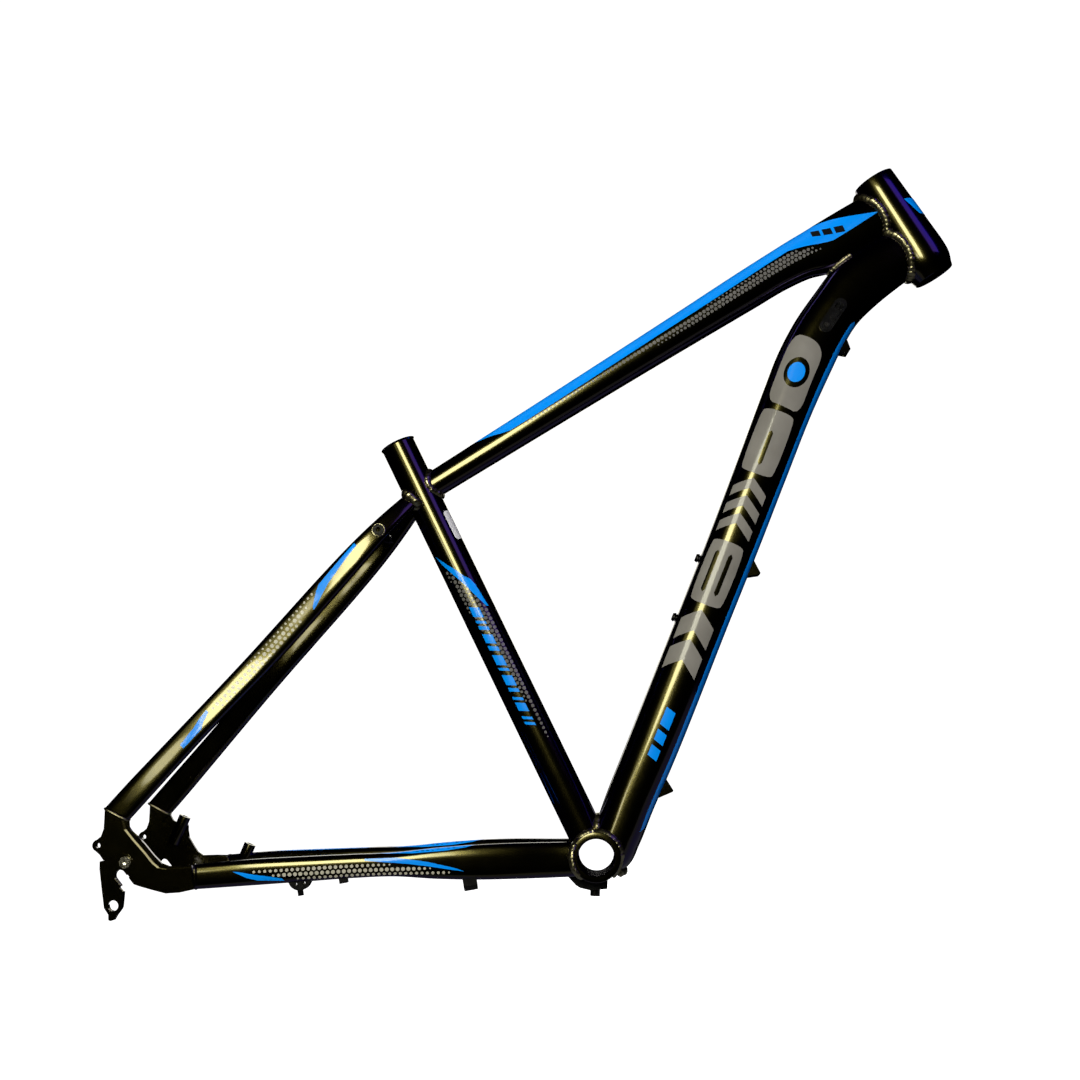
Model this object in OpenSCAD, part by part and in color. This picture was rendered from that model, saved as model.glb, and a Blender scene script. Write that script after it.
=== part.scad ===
// Hardtail mountain bike frame for 29 inch wheels, bare, without fork, seatpost or bottom bracket.
// +X points forward, +Y to the rider's left, +Z up. The origin is the centre of the bottom bracket.

/* [Frame geometry] */
// Angle between the seat tube and the ground, degrees
seat_angle = 73.85; // [73.5:0.05:74.5]
// Angle between the head tube and the ground, degrees
head_angle = 70; // [69.5:0.5:70.5]
// Height of the head tube's top above the bottom bracket
stack = 626; // [622:1:630]
// Distance from the bottom bracket forward to the head tube's top
reach = 403.5; // [400:0.5:407]
// Straight length from the bottom bracket to the rear axle
chainstay_length = 448; // [444:1:452]
// Height of the rear axle above the bottom bracket
bb_drop = 62; // [60:1:64]
// Distance along the seat tube at which the top tube and the seatstays meet it
joint_height = 402; // [398:0.5:405]

/* [Head tube] */
// Length of the head tube
head_length = 119; // [115:1:123]
// Diameter of the two headset cup bores
cup_bore = 34; // [33:0.1:34]
// Depth of each headset cup bore
cup_depth = 14; // [10:1:20]
// Diameter of the upper rim
head_rim_top = 43.4; // [42:0.1:44]
// Diameter at the widest place
head_barrel = 52; // [50:0.1:52]
// Diameter of the lower rim
head_rim_bottom = 41.4; // [40:0.1:42]

/* [Seat tube] */
// Length from the bottom bracket to the top of the seat tube
seat_length = 458; // [450:1:466]
// Outer diameter of the seat tube
seat_od = 34.9; // [34.9:0.1:35.5]
// Diameter of the seatpost bore
seatpost_bore = 31.6; // [30.9:0.1:31.6]
// Depth to which the seatpost bore is reamed
reamed_depth = 200; // [120:5:240]

/* [Bottom bracket] */
// Width of the shell
shell_width = 73; // [68:1:73]
// Outer diameter of the shell
shell_od = 47.5; // [44:0.5:48]
// Diameter of the threaded bore
shell_bore = 34.8; // [33.6:0.1:35]

/* [Tube walls] */
// Wall of the top tube and the down tube
tube_wall = 1.8; // [1.4:0.1:2.4]
// Wall of the stays
stay_wall = 1.6; // [1.4:0.1:2]
// Angle between the down tube and the ground, degrees
down_angle = 58; // [57.8:0.1:58.2]
// Distance of the down tube's axis in front of the bottom bracket's centre
down_offset = 11.6; // [10:0.2:13]

/* [Rear end] */
// Distance between the inner faces of the two dropouts
hub_width = 135; // [130:1:135]
// Width of the slots for the axle
axle_slot = 10.4; // [10:0.1:11]
// Thickness of the dropouts' base plate
plate_base = 4; // [3:0.5:5]
// Height of the raised pad on the dropouts' outer face
plate_pad = 3.5; // [2.5:0.5:4]
// Distance between the two brake mounting holes
post_spacing = 74.2; // [74:0.1:74.4]
// Distance of the brake mounting holes from the frame's middle plane
post_y = 62; // [60:0.5:63]
// Angle by which the brake mounting holes lean forward from upright, degrees
post_lean = 32; // [30:1:34]
// Diameter of the threaded hole for the derailleur
hanger_hole = 10; // [9:0.1:10]

/* [Fittings] */
// Distance between the two bottle bolts
bottle_spacing = 64; // [63:1:65]
// Distance of the lower bottle bolt from the bottom bracket along the down tube
bottle_start = 246; // [230:1:260]
// Diameter of each brake hose channel in the down tube's guides
hose_channel = 5.2; // [5:0.1:6]
// Distance of the seatstay bridge from the seatstays' upper end, as a share of their length
bridge_share = 0.13; // [0.12:0.01:0.15]

/* [Hidden] */
$fn = 64;

fuzz = 0.01;        // overlap of cutting shapes past a face
sides = 20;         // sides of each formed tube
steps = 2;          // rings between two stations of a formed tube
end_reach = 6;      // how far a tube's hollow runs past its ends

paint = "#17181a";
plastic = "#232427";
bright = "#b9bcc0";

seat_dir = [-cos(seat_angle), 0, sin(seat_angle)];
head_dir = [-cos(head_angle), 0, sin(head_angle)];
down_dir = [cos(down_angle), 0, sin(down_angle)];
down_front = [sin(down_angle), 0, -cos(down_angle)];
head_top = [reach, 0, stack];
head_bottom = head_top - head_dir * head_length;
joint = seat_dir * joint_height;
axle = [-sqrt(chainstay_length ^ 2 - bb_drop ^ 2), 0, bb_drop];
down_foot = down_front * down_offset;
inner_face = hub_width / 2;
outer_face = inner_face + plate_base + plate_pad;

// ---------- formed tubes: stations are [x, y, z, half depth, half width] ----------

function place(s) = [s[0], s[1], s[2]];
function gap(st, i) = norm(place(st[i + 1]) - place(st[i]));
function slope(st, i) =
    i == 0 ? (st[1] - st[0]) / gap(st, 0) :
    i == len(st) - 1 ? (st[i] - st[i - 1]) / gap(st, i - 1) :
    ((st[i + 1] - st[i]) / gap(st, i) * gap(st, i - 1)
     + (st[i] - st[i - 1]) / gap(st, i - 1) * gap(st, i)) / (gap(st, i) + gap(st, i - 1));
function blend(st, i, t) =
    st[i] * (2 * t ^ 3 - 3 * t ^ 2 + 1)
    + slope(st, i) * gap(st, i) * (t ^ 3 - 2 * t ^ 2 + t)
    + st[i + 1] * (3 * t ^ 2 - 2 * t ^ 3)
    + slope(st, i + 1) * gap(st, i) * (t ^ 3 - t ^ 2);
function smooth(st) = concat(
    [for (i = [0:len(st) - 2]) for (j = [0:steps - 1]) blend(st, i, j / steps)],
    [st[len(st) - 1]]);

function unit(v) = v / norm(v);
function along(path, i) = unit(place(path[min(i + 1, len(path) - 1)]) - place(path[max(i - 1, 0)]));
function across(t) = unit([0, 1, 0] - t * t[1]);
function rounded(c, power) = sign(c) * abs(c) ^ (2 / power);

function ring(path, i, power, shift, wall) =
    let (s = path[i], t = along(path, i), side = across(t), up = cross(t, side))
    [for (k = [0:sides - 1])
        place(s) + t * shift
        + side * (s[4] - wall) * rounded(cos(360 * (k + 0.5) / sides), power)
        + up * (s[3] - wall) * rounded(sin(360 * (k + 0.5) / sides), power)];

module skin(rings) {
    count = len(rings);
    polyhedron(
        points = [for (r = rings) each r],
        faces = concat(
            [[for (k = [0:sides - 1]) k]],
            [for (i = [0:count - 2]) for (k = [0:sides - 1])
                let (a = i * sides + k, b = i * sides + (k + 1) % sides)
                each [[a, a + sides, b], [b, a + sides, b + sides]]],
            [[for (k = [sides - 1:-1:0]) (count - 1) * sides + k]]),
        convexity = 6);
}

module tube_outside(stations, power) {
    path = smooth(stations);
    skin([for (i = [0:len(path) - 1]) ring(path, i, power, 0, 0)]);
}

module tube_hollow(stations, power, wall) {
    path = smooth(stations);
    last = len(path) - 1;
    skin(concat([ring(path, 0, power, -end_reach, wall)],
                [for (i = [1:last - 1]) ring(path, i, power, 0, wall)],
                [ring(path, last, power, end_reach, wall)]));
}

// ---------- stations ----------

top_dir = unit(head_top - head_dir * 27.8 - joint);
top_up = [-top_dir[2], 0, top_dir[0]];
top_span = norm(head_top - head_dir * 27.8 - joint);
top_power = 2.1;
// share of the span, rise of the axis, half depth, half width
top_plan = [[0, 0, 13.5, 13.5], [0.07, 0, 14, 14], [0.33, 0, 16, 15.6], [0.58, 0, 18.6, 17.4],
            [0.69, 0, 20.1, 18], [0.765, -0.3, 20.9, 18.4], [0.815, -2.2, 23, 18.6],
            [0.85, -5.4, 26.1, 18.7], [0.905, -7.3, 27.6, 18.7], [0.985, -8, 27, 18.5]];
top_stations = [for (p = top_plan)
    let (c = joint + top_dir * top_span * p[0] + top_up * p[1]) [c[0], c[1], c[2], p[2], p[3]]];

down_power = 2.3;
// distance along the axis, shift to the front, half depth, half width
down_low = [[-4, -5, 17, 26.5], [8, -1, 22.8, 28], [25, 0, 23.6, 28], [60, -0.3, 24.3, 27.6],
            [109, 0.6, 25.1, 27], [263, 1, 25.6, 25.6], [343, 1.3, 26, 25], [418, 0.8, 26.4, 24.6],
            [497, 0.4, 27.3, 24]];
// place from the lower end of the head tube, half depth, half width
down_high = [[-149.8, -67.5, 28.3, 23.6], [-127.8, -38.7, 27.7, 23.2], [-104, -13.9, 26.9, 23],
             [-84.3, 2.3, 28.6, 22.6], [-42.3, 24.5, 27.6, 20.9], [-17.3, 35.5, 26.5, 18.6]];
down_stations = concat(
    [for (p = down_low)
        let (c = down_foot + down_dir * p[0] + down_front * p[1]) [c[0], c[1], c[2], p[2], p[3]]],
    [for (p = down_high) [head_bottom[0] + p[0], 0, head_bottom[2] + p[1], p[2], p[3]]]);

chain_power = 2.8;
chain_end = [axle[0] + 67.6, axle[2] - 13.2];
// share of the run from the bottom bracket, rise above the straight line, distance from the middle,
// half depth, half width
chain_plan = [[0.03, -0.3, 26, 16.3, 9.4], [0.1, 0, 28.6, 16.7, 9], [0.22, 1.1, 38, 16.9, 8],
              [0.29, 1.5, 42, 16.5, 7.5], [0.4, 2.1, 45.5, 14.5, 8], [0.51, 2.9, 48.5, 11.2, 9],
              [0.6, 3.1, 51, 11.2, 9.4], [0.72, 2.5, 55.5, 11.8, 9.4], [0.86, 1.6, 61.5, 12.2, 8.6],
              [1, -0.2, 67, 11.6, 7.5]];
chain_stations = [for (p = chain_plan)
    [chain_end[0] * p[0], -p[2], (chain_end[1] + 1) * p[0] - 1 + p[1], p[3], p[4]]];

seatstay_power = 3.6;
seatstay_start = axle + [-5.7, 0, 49.6];
seatstay_run = joint - [0, 0, 1.7] - seatstay_start;
// share of the run from the dropout, distance from the middle, half depth, half width
seatstay_plan = [[0, 69.5, 12.3, 6.6], [0.09, 67.5, 12.3, 7], [0.19, 63.5, 11.8, 7],
                 [0.28, 59, 11.4, 7], [0.38, 51, 11.7, 7], [0.47, 44.5, 12.2, 7],
                 [0.57, 42.2, 12.4, 7], [0.72, 42, 11.9, 7], [0.8, 40.2, 11.2, 7],
                 [0.86, 35.8, 10.3, 7], [0.92, 27, 9.2, 7], [0.965, 19, 8.2, 6.6],
                 [1.015, 12, 7.4, 5]];
seatstay_stations = [for (p = seatstay_plan)
    [seatstay_start[0] + seatstay_run[0] * p[0], -p[1],
     seatstay_start[2] + seatstay_run[2] * p[0], p[2], p[3]]];

// Outline of the dropout's base plate, from the axle's centre
weld_line = [[13.7, 48.8], [-6, 63.5]];
eyelet = [-17, 30.9];
hanger_bolt_at = [6.7, 11];
derailleur_at = [-10.1, -26.6];
base_rear = [[-7.6, 54.7], [-9.5, 45.2], [-13, 38.8], [-17.5, 36.2], [-21, 27.6], [-16.5, 22.3],
             [-13.8, 17], [-16.5, 9], [-16.5, -4], [-8, -12], [4.7, -8.1], [9.5, -9]];
base_low = [[17, -13], [25.4, -17], [40.7, -23.8], [54, -25.2], [67.6, -24.6]];
base_front = [[67.6, -2.4], [46, 0.5], [40, 4], [34, 12], [26, 25], [20, 33.5], [15.7, 38.4],
              [13.4, 43]];
left_front = [[67.6, -2.4], [56, -0.2], [42, 1.8], [37, 6.5], [33.8, 13.3], [29.8, 23], [29.6, 30],
              [30.4, 34.5], [24, 41], [19.6, 39.5], [15.9, 42.6]];
// Outline of the raised pad, bounded in front by its bright edge
pad_front = [[67.6, -4.3], [43.4, -1.9], [36.2, 0.6], [31.2, 6.2], [25.1, 16.6], [15.4, 31.3],
             [9.6, 41.2], [8, 53]];

// Outline of the derailleur hanger, from the axle's centre
hanger_low = [[-13.8, 16.2], [-17.2, 16], [-18.3, 9], [-18.7, -11], [-18.8, -27.2], [-15.6, -33.8],
              [-16.2, -38.9], [-14.2, -40.1], [-11.3, -39.7], [-8.3, -35.8], [-3, -30.7],
              [-1.9, -28.5], [0.2, -19.1], [1.1, -15.2], [-1.3, -11.2], [-0.9, -8.6], [-4.5, -2.6]];
hanger_tongue = [[-4.5, -2.6], [0, 0], [10, -1], [14, 6], [14.4, 12], [11, 17.6], [5, 19.6],
                 [-5, 18.6]];

// ---------- helpers ----------

// Turns a child whose axis is +Z so that it points along a direction in the XZ plane
module lean_to(dir) {
    rotate([0, atan2(dir[0], dir[2]), 0]) children();
}

module at_axle() {
    translate(axle) children();
}

// Draws a flat outline of x and z, thick along Y, on the right side of the frame
module right_slab(near_y, thick) {
    translate([0, -near_y, 0]) rotate([90, 0, 0]) linear_extrude(thick) children();
}

module seat_solid() {
    lean_to(seat_dir) cylinder(h = seat_length, d = seat_od);
}

module shell_solid() {
    rotate([90, 0, 0]) cylinder(h = shell_width, d = shell_od, center = true);
}

// The shell with the room before its two faces, which the stays stay out of
module shell_room() {
    rotate([90, 0, 0]) cylinder(h = shell_width + 10, d = shell_od, center = true);
}

// radius and height of the head tube's outline, which widens down to its barrel
barrel_from = 88;
barrel_to = 98;
head_profile = [
    [0, 0], [head_rim_top / 2 - 0.6, 0], [head_rim_top / 2, -0.6],
    [head_barrel / 2, -barrel_from], [head_barrel / 2, -barrel_to],
    [head_barrel / 2 - 0.9, 13 - head_length], [head_rim_bottom / 2 + 1.4, 4.5 - head_length],
    [head_rim_bottom / 2 + 0.3, 0.5 - head_length], [head_rim_bottom / 2 - 0.2, -head_length],
    [0, -head_length]];

module in_head() {
    translate(head_top) lean_to(head_dir) children();
}

module head_solid() {
    in_head() rotate_extrude($fn = 96) polygon(head_profile);
}

module axle_slot_shape() {
    circle(d = axle_slot);
    rotate(-60) translate([0, -axle_slot / 2]) square([30, axle_slot]);
}

// ---------- main tubes ----------

module head_tube() color(paint) difference() {
    head_solid();
    in_head() {
        relief = cup_bore / 2 + 0.8;
        translate([0, 0, -cup_depth]) cylinder(h = cup_depth + 1, d = cup_bore, $fn = 96);
        translate([0, 0, -head_length - 1]) cylinder(h = cup_depth + 1, d = cup_bore, $fn = 96);
        translate([0, 0, cup_depth - head_length])
            cylinder(h = head_length - 2 * cup_depth, r = relief, $fn = 96);
    }
}

module top_tube() color(paint) difference() {
    tube_outside(top_stations, top_power);
    tube_hollow(top_stations, top_power, tube_wall);
    seat_solid();
    head_solid();
    tube_outside(down_stations, down_power);
}

module down_tube() color(paint) difference() {
    tube_outside(down_stations, down_power);
    tube_hollow(down_stations, down_power, tube_wall);
    shell_solid();
    seat_solid();
    head_solid();
    boss_places() cylinder(h = 30, d = boss_body, center = true);
    port_place() port_slot(port_length, port_width, 40);
}

slot_length = 38;
slot_width = 2.4;
lip_width = 1.1;
lip_height = 2;
module seat_tube() color(paint) difference() {
    union() {
        seat_solid();
        lean_to(seat_dir) translate([0, 0, seat_length - lip_height])
            cylinder(h = lip_height, d1 = seat_od, d2 = seat_od + 2 * lip_width);
    }
    lean_to(seat_dir) {
        translate([0, 0, seat_length - reamed_depth]) cylinder(h = reamed_depth + 1, d = seatpost_bore);
        cylinder(h = seat_length - reamed_depth, d = seatpost_bore + 0.4);
        translate([-seat_od, -slot_width / 2, seat_length - slot_length])
            cube([seat_od, slot_width, slot_length + 1]);
        translate([-seat_od, 0, seat_length - slot_length])
            rotate([0, 90, 0]) cylinder(h = seat_od, d = slot_width + 2);
    }
    shell_solid();
}

module bb_shell() color(paint) rotate([90, 0, 0]) rotate_extrude($fn = 96) {
    half = shell_width / 2;
    bore = shell_bore / 2;
    rim = shell_od / 2;
    polygon([[bore, half - 1.2], [bore + 1.2, half], [rim - 0.6, half], [rim, half - 0.6],
             [rim, 0.6 - half], [rim - 0.6, -half], [bore + 1.2, -half], [bore, 1.2 - half]]);
}

// ---------- rear triangle ----------

module chainstay() difference() {
    tube_outside(chain_stations, chain_power);
    tube_hollow(chain_stations, chain_power, stay_wall);
    shell_room();
}

module chainstay_right() color(paint) chainstay();

module chainstay_left() color(paint) difference() {
    mirror([0, 1, 0]) chainstay();
    front_post_body();
}

module chainstay_bridge() color(paint) difference() {
    translate([chain_end[0] * 0.135, 0, 7]) rotate([90, 0, 0]) difference() {
        cylinder(h = 60, d = 16, center = true);
        cylinder(h = 62, d = 12.8, center = true);
    }
    tube_outside(chain_stations, chain_power);
    mirror([0, 1, 0]) tube_outside(chain_stations, chain_power);
}

// Half space behind the weld between the seatstay and the dropout
module weld_cut() {
    at_axle() translate([weld_line[0][0], -100, weld_line[0][1]])
        rotate([0, atan2(weld_line[1][1] - weld_line[0][1], weld_line[0][0] - weld_line[1][0]), 0])
            translate([-60, 0, -60]) cube([120, 200, 60]);
}

// The seatstays' upper ends: along the seat tube and back from its axis
stay_end_low = [382, 2.5];
stay_end_high = [404, 14.4];
module stay_end_cut() {
    run = stay_end_high - stay_end_low;
    lean_to(seat_dir) translate([-stay_end_low[1], -100, stay_end_low[0]])
        rotate([0, atan2(run[0], run[1]), 0]) translate([-60, 0, 0]) cube([120, 200, 60]);
}

bridge_point = seatstay_start + seatstay_run * (1 - bridge_share);
rack_boss_d = 11;
rack_boss_foot = 28;
rack_boss_face = 44.6;
module seatstay() difference() {
    tube_outside(seatstay_stations, seatstay_power);
    tube_hollow(seatstay_stations, seatstay_power, stay_wall);
    weld_cut();
    stay_end_cut();
    seat_solid();
    translate(bridge_point) rotate([90, 0, 0]) cylinder(h = 120, d = rack_boss_d);
}

module seatstay_right() color(paint) seatstay();

module seatstay_left() color(paint) mirror([0, 1, 0]) seatstay();

module seatstay_bridge() color(paint) difference() {
    translate(bridge_point) rotate([90, 0, 0]) difference() {
        cylinder(h = 2 * rack_boss_foot + 6, d = 14, center = true);
        cylinder(h = 2 * rack_boss_foot + 8, d = 11, center = true);
    }
    tube_outside(seatstay_stations, seatstay_power);
    mirror([0, 1, 0]) tube_outside(seatstay_stations, seatstay_power);
}

module rack_boss() translate(bridge_point) rotate([90, 0, 0]) difference() {
    translate([0, 0, rack_boss_foot]) cylinder(h = rack_boss_face - rack_boss_foot, d = rack_boss_d);
    translate([0, 0, rack_boss_foot + 2]) cylinder(h = 20, d = 5);
}

module rack_boss_right() color(paint) rack_boss();

module rack_boss_left() color(paint) mirror([0, 1, 0]) rack_boss();

// ---------- dropouts ----------

stub_length = 12;
module dropout_plate(front, with_pocket) {
    at_axle() difference() {
        union() {
            right_slab(inner_face, plate_base) {
                polygon(concat(weld_line, base_rear, base_low, front));
                translate(eyelet) circle(d = 11);
            }
            right_slab(inner_face + plate_base, plate_pad) difference() {
                polygon(concat([[8, 53], [-6, 63.5]], base_rear, base_low, pad_front));
                if (with_pocket) polygon(hanger_pocket);
            }
            right_slab(inner_face + plate_base, plate_pad - 0.5) translate(eyelet) circle(d = 11);
            right_slab(inner_face - 7.5, 7.5 + fuzz)
                polygon([[67.6, -23.2], [67.6, -3.4], [67.6 - stub_length, -3], [67.6 - stub_length, -22.6]]);
            right_slab(inner_face - 4.6, 4.6 + fuzz)
                polygon([[12.4, 49.8], [-3.6, 61.7], [-6.4, 51.8], [5, 43.4]]);
        }
        right_slab(inner_face - 20, 40) axle_slot_shape();
        right_slab(inner_face - 20, 40) translate(eyelet) circle(d = 5);
    }
}

// The part of the pad that is left out so that the hanger lies in it
hanger_pocket = [[-30, 16.6], [-30, -20], [5, -20], [5, -9.6], [9.2, -1.6], [14.2, 5.6], [14.7, 12],
                 [11.3, 17.9], [5, 20], [-5.2, 19], [-13.6, 16.6]];

module dropout_right() color(paint) difference() {
    dropout_plate(base_front, true);
    at_axle() right_slab(inner_face - 20, 40) translate(hanger_bolt_at) circle(d = 8);
}

post_dir = [sin(post_lean), 0, cos(post_lean)];
post_line = [cos(post_lean), 0, -sin(post_lean)];
post_rear = axle + [30.4, post_y, 44.5];
post_front = post_rear + post_line * post_spacing;
post_depth = 14;

module post_cylinder(at, length, d) {
    translate(at) lean_to(post_dir) translate([0, 0, -length]) cylinder(h = length, d = d);
}

module dropout_left() color(paint) difference() {
    union() {
        mirror([0, 1, 0]) dropout_plate(left_front, false);
        difference() {
            post_cylinder(post_rear, 30, 12);
            translate(post_rear + [-40, 5.6, -60]) cube([80, 20, 80]);
        }
        translate([0, 2 * inner_face + plate_base, 0]) at_axle() right_slab(inner_face - 0.1, 8)
            polygon([[27.6, 40], [30, 35.5], [28.6, 30], [28.4, 16], [20, 12], [14, 22]]);
    }
    post_cylinder(post_rear + post_dir, post_depth + 1, 6);
}

module front_post_body() {
    post_cylinder(post_front, 22, 12);
}

module brake_post_front() color(paint) difference() {
    front_post_body();
    post_cylinder(post_front + post_dir, post_depth + 1, 6);
}

// ---------- derailleur hanger ----------

module derailleur_hanger() color(paint) at_axle() difference() {
    union() {
        right_slab(inner_face + plate_base, plate_pad) polygon(concat(hanger_low, hanger_tongue));
        right_slab(inner_face, plate_base + fuzz) polygon([for (p = hanger_low) if (p[1] < -14) p]);
    }
    right_slab(inner_face - 20, 40) axle_slot_shape();
    right_slab(inner_face - 20, 40) translate(derailleur_at) circle(d = hanger_hole);
    right_slab(inner_face - 20, 40) translate(hanger_bolt_at) circle(d = 8);
}

module hanger_nut() color(bright) at_axle() translate([hanger_bolt_at[0], 0, hanger_bolt_at[1]])
    rotate([90, 0, 0]) difference() {
        union() {
            translate([0, 0, inner_face - 1.2]) cylinder(h = 1.2, d = 11);
            translate([0, 0, inner_face - fuzz]) cylinder(h = 6, d = 8);
        }
        translate([0, 0, inner_face - 2]) cylinder(h = 10, d = 6);
    }

module hanger_bolt() color(bright) at_axle() translate([hanger_bolt_at[0], 0, hanger_bolt_at[1]])
    rotate([90, 0, 0]) difference() {
        union() {
            translate([0, 0, outer_face]) cylinder(h = 1.4, d = 11);
            translate([0, 0, inner_face]) cylinder(h = plate_base + plate_pad + fuzz, d = 6);
        }
        translate([0, 0, outer_face - 2]) cylinder(h = 4, d = 4.6, $fn = 6);
    }

// ---------- bottle bosses ----------

boss_body = 7;
boss_height = 24.6;
module boss_places() {
    for (i = [0, 1])
        translate(down_foot + down_dir * (bottle_start + bottle_spacing * i) - down_front * boss_height)
            lean_to(-down_front) children();
}

module bottle_bosses() color(bright) boss_places() difference() {
    union() {
        translate([0, 0, -11]) cylinder(h = 12, d = boss_body);
        translate([0, 0, 0.9]) cylinder(h = 0.9, d = 9.4);
    }
    translate([0, 0, -12]) cylinder(h = 20, d = 5);
}

module bottle_bolts() color(bright) boss_places() difference() {
    union() {
        translate([0, 0, 1.8]) cylinder(h = 2.2, d1 = 9, d2 = 7);
        translate([0, 0, -8]) cylinder(h = 10, d = 5);
    }
    translate([0, 0, 2]) cylinder(h = 4, d = 3.5, $fn = 6);
}

// ---------- hose guides under the down tube ----------

guide_width = 19;
guide_root = 6;         // how deep a guide's root reaches before the tube cuts it off
channel_height = 4.4;   // height of the hose channels above the tube
// A wedge that stands on the tube's surface, with two hose channels along the tube
module hose_guide(length, height, tip, flat) {
    difference() {
        translate([0, guide_width / 2, 0]) rotate([90, 0, 0]) linear_extrude(guide_width)
            polygon([[0, -guide_root], [0, 0.4], [tip - flat / 2, height], [tip + flat / 2, height],
                     [length, 0.8], [length, -guide_root]]);
        for (y = [-5, 5])
            translate([-20, y, channel_height]) rotate([0, 90, 0]) cylinder(h = 60, d = hose_channel);
    }
}

// Places a guide on the straight stretch of the down tube's front
module guide_on_down(distance, height) {
    translate(down_foot + down_dir * distance + down_front * height)
        rotate([0, -down_angle, 0]) mirror([0, 0, 1]) children();
}

module hose_guide_bottom() color(paint) difference() {
    guide_on_down(74.5, 24) hose_guide(19.5, 10.9, 11.4, 1.6);
    tube_outside(down_stations, down_power);
}

module hose_guide_middle() color(paint) difference() {
    guide_on_down(310.5, 26.2) hose_guide(16.5, 10.8, 6.9, 1.6);
    tube_outside(down_stations, down_power);
}

upper_guide_angle = 48;
module hose_guide_top() color(paint) difference() {
    translate(head_bottom + [-112, 0, -61.7]) rotate([0, -upper_guide_angle, 0]) mirror([0, 0, 1])
        hose_guide(13.5, 8.2, 5.2, 4.5);
    tube_outside(down_stations, down_power);
}

// ---------- guides under the chainstay ----------

function stay_value(share, column) = lookup(share, [for (p = chain_plan) [p[0], p[column]]]);
function stay_at(share) = [chain_end[0] * share, -stay_value(share, 2),
                           (chain_end[1] + 1) * share - 1 + stay_value(share, 1)];

module under_stay(share, depth) {
    translate(stay_at(share) - [0, 0, depth]) children();
}

module chainstay_guide_rear() color(plastic) difference() {
    under_stay(0.747, 8.7) {
        difference() {
            translate([1.6, 0, 0]) rotate([90, 0, 0]) intersection() {
                cylinder(h = 9, r = 11, center = true);
                translate([-11, -11, -5]) cube([22, 14, 10]);
            }
            for (x = [-2.5, 5.5])
                translate([x, 0, -4.6]) rotate([90, 0, 0]) cylinder(h = 20, d = 2.6, center = true);
        }
        translate([0, 0, -16]) cylinder(h = 7, d = 5.6);
    }
    tube_outside(chain_stations, chain_power);
}

module chainstay_guide_middle() color(plastic) difference() {
    under_stay(0.637, 10) difference() {
        translate([-3.8, -4, -5.4]) cube([7.6, 8, 7.4]);
        translate([-5, 0, -3]) rotate([0, 90, 0]) cylinder(h = 10, d = 2.4);
    }
    tube_outside(chain_stations, chain_power);
}

module chainstay_guide_front() color(plastic) difference() {
    under_stay(0.325, 16.3) difference() {
        union() {
            translate([-6.3, -5, -5]) cube([12.6, 10, 9]);
            translate([-6.3, 0, -5]) rotate([0, 90, 0]) cylinder(h = 12.6, r = 5);
        }
        translate([-7, 0, -5]) rotate([0, 90, 0]) cylinder(h = 14, d = hose_channel);
    }
    tube_outside(chain_stations, chain_power);
}

// ---------- cable guide under the bottom bracket ----------

guide_plate_width = 26;
guide_outline = [[-30, -12], [-30.3, -15.3], [-24.4, -24.2], [-20.9, -27.3], [-11.6, -31.2],
                 [-1.8, -32.1], [5.1, -32.6], [7, -24.1], [7, -16]];
cable_radius = 27.5;    // distance of the two cable channels from the shell's axis
guide_seat = 8;         // distance of the screw head's seat from the shell's surface
module bb_cable_guide() color(plastic) difference() {
    translate([0, guide_plate_width / 2, 0]) rotate([90, 0, 0])
        linear_extrude(guide_plate_width) polygon(guide_outline);
    shell_solid();
    for (y = [-7.5, 7.5])
        translate([0, y, 0]) rotate([90, 0, 0]) rotate_extrude()
            translate([cable_radius, 0]) circle(d = 5);
    guide_screw_place() cylinder(h = 40, d = 5, center = true);
    guide_screw_place() translate([0, 0, -guide_seat - 10]) cylinder(h = 10, d = 10.4);
}

guide_screw_angle = 12;
module guide_screw_place() {
    rotate([0, guide_screw_angle, 0]) translate([0, 0, -shell_od / 2]) children();
}

screw_head = 7.4;
module bb_guide_screw() color(bright) guide_screw_place() difference() {
    union() {
        translate([0, 0, -guide_seat - screw_head]) cylinder(h = screw_head, d = 9.6);
        translate([0, 0, -guide_seat - fuzz]) cylinder(h = guide_seat + fuzz, d = 5);
    }
    translate([0, 0, -guide_seat - screw_head - 1]) cylinder(h = 4, d = 4.6, $fn = 6);
}

// ---------- cable port on the right of the down tube ----------

port_length = 40;
port_width = 13;
port_angle = 46;
module port_place() {
    translate(head_bottom + [-114.3, -23.4, -27.6]) rotate([90, 0, 0]) rotate([0, 0, port_angle]) children();
}

// A slot with round ends along X, thick along Z and centred on it
module port_slot(length, width, thick) {
    reach_x = (length - width) / 2;
    translate([0, 0, -thick / 2]) {
        for (x = [-reach_x, reach_x]) translate([x, 0, 0]) cylinder(h = thick, d = width);
        translate([-reach_x, -width / 2, 0]) cube([2 * reach_x, width, thick]);
    }
}

// Two slanted ways for a cable or a hose through the port
module cable_ways() {
    for (y = [-2.2, 2.2])
        translate([8, y, 1]) rotate([0, 60, 0]) cylinder(h = 26, d = 3.6, center = true);
}

module port_frame() color(plastic) port_place() difference() {
    translate([0, 0, -2.6]) port_slot(port_length, port_width, 7);
    translate([0, 0, 1.1]) port_slot(port_length - 3, port_width - 3, 2.2);
    cable_ways();
    translate([-12.5, 0, -8]) cylinder(h = 12, d = 3);
}

module port_cover() color(plastic) port_place() difference() {
    union() {
        translate([0, 0, 0.85]) port_slot(port_length - 3.2, port_width - 3.2, 1.7);
        translate([6, 0, 1.6]) port_slot(20, port_width - 4.4, 2);
    }
    cable_ways();
    translate([-12.5, 0, -8]) cylinder(h = 14, d = 3);
}

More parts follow.
